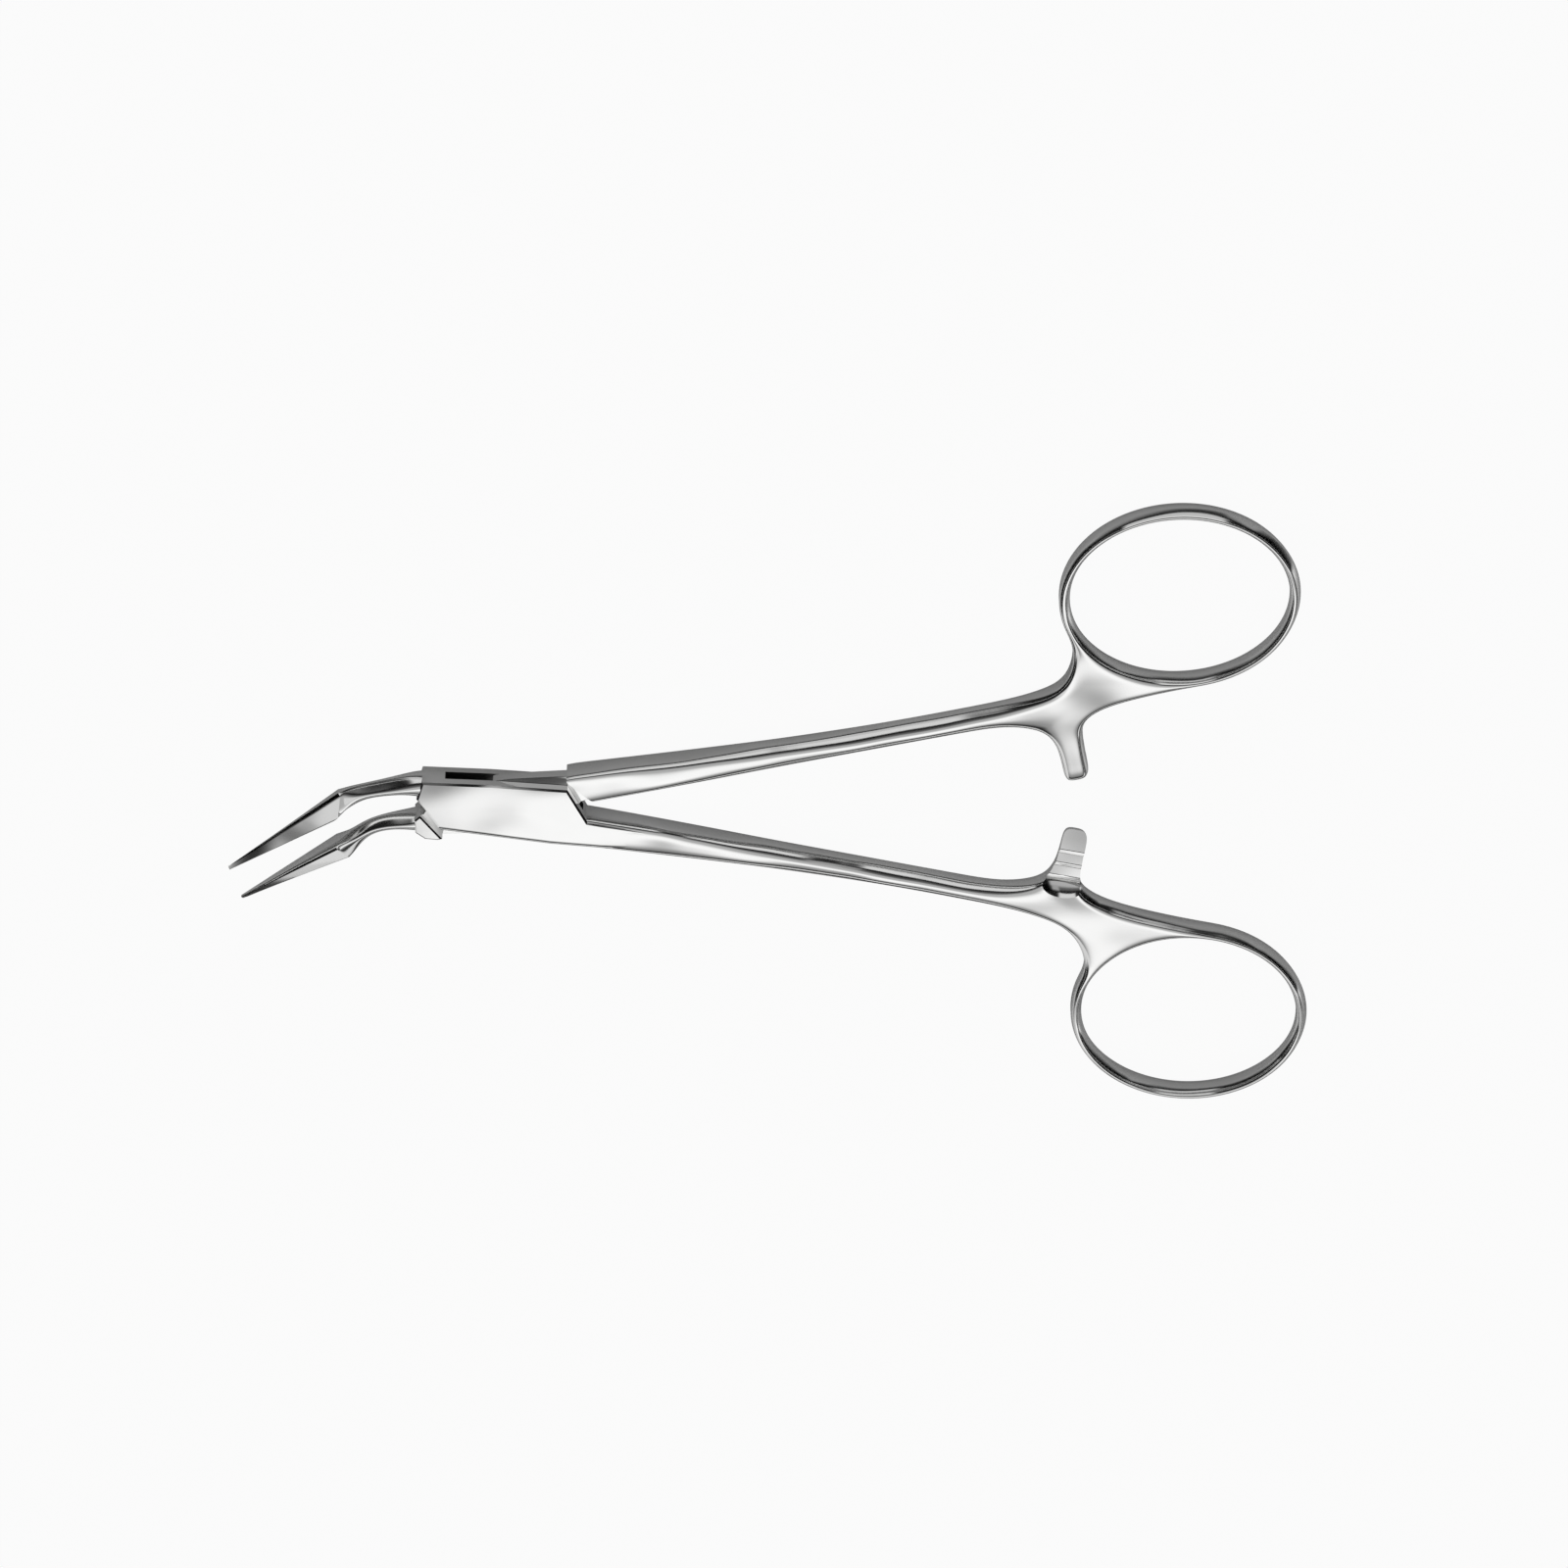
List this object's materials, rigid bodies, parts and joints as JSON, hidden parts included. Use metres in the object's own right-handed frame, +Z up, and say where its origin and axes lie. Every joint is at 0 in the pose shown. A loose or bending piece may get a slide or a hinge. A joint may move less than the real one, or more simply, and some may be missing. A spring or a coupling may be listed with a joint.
{
  "type": "ring-handled splinter forceps with a box lock",
  "caption": "Slim ring-handled splinter forceps in polished steel, with a box lock, angled pointed jaws and a toothed hold between the handles.",
  "frame": {"origin": "on the axis of the lock's rivet, in the plane of the face that the forceps lie on", "axes": "+X from the lock towards the finger rings along the middle line of the two handles, +Y to the side of the ring whose half carries the lower jaw, +Z up out of the table, along the rivet"},
  "size_m": [0.1405, 0.0881, 0.0047],
  "materials": {
    "steel": "polished stainless steel",
    "pin_steel": "stainless rivet, ground and polished flush with the lock"
  },
  "bodies": {
    "box": {"box_half": "steel", "pivot_pin": "pin_steel"},
    "tongue": {"tongue_half": "steel"}
  },
  "joints": [
    {"name": "lock_pivot", "type": "hinge", "parent": "box", "child": "tongue", "pos_m": [0, 0, 0], "axis": [0, 0, 1], "range_deg": [-6.5, 60]}
  ]
}
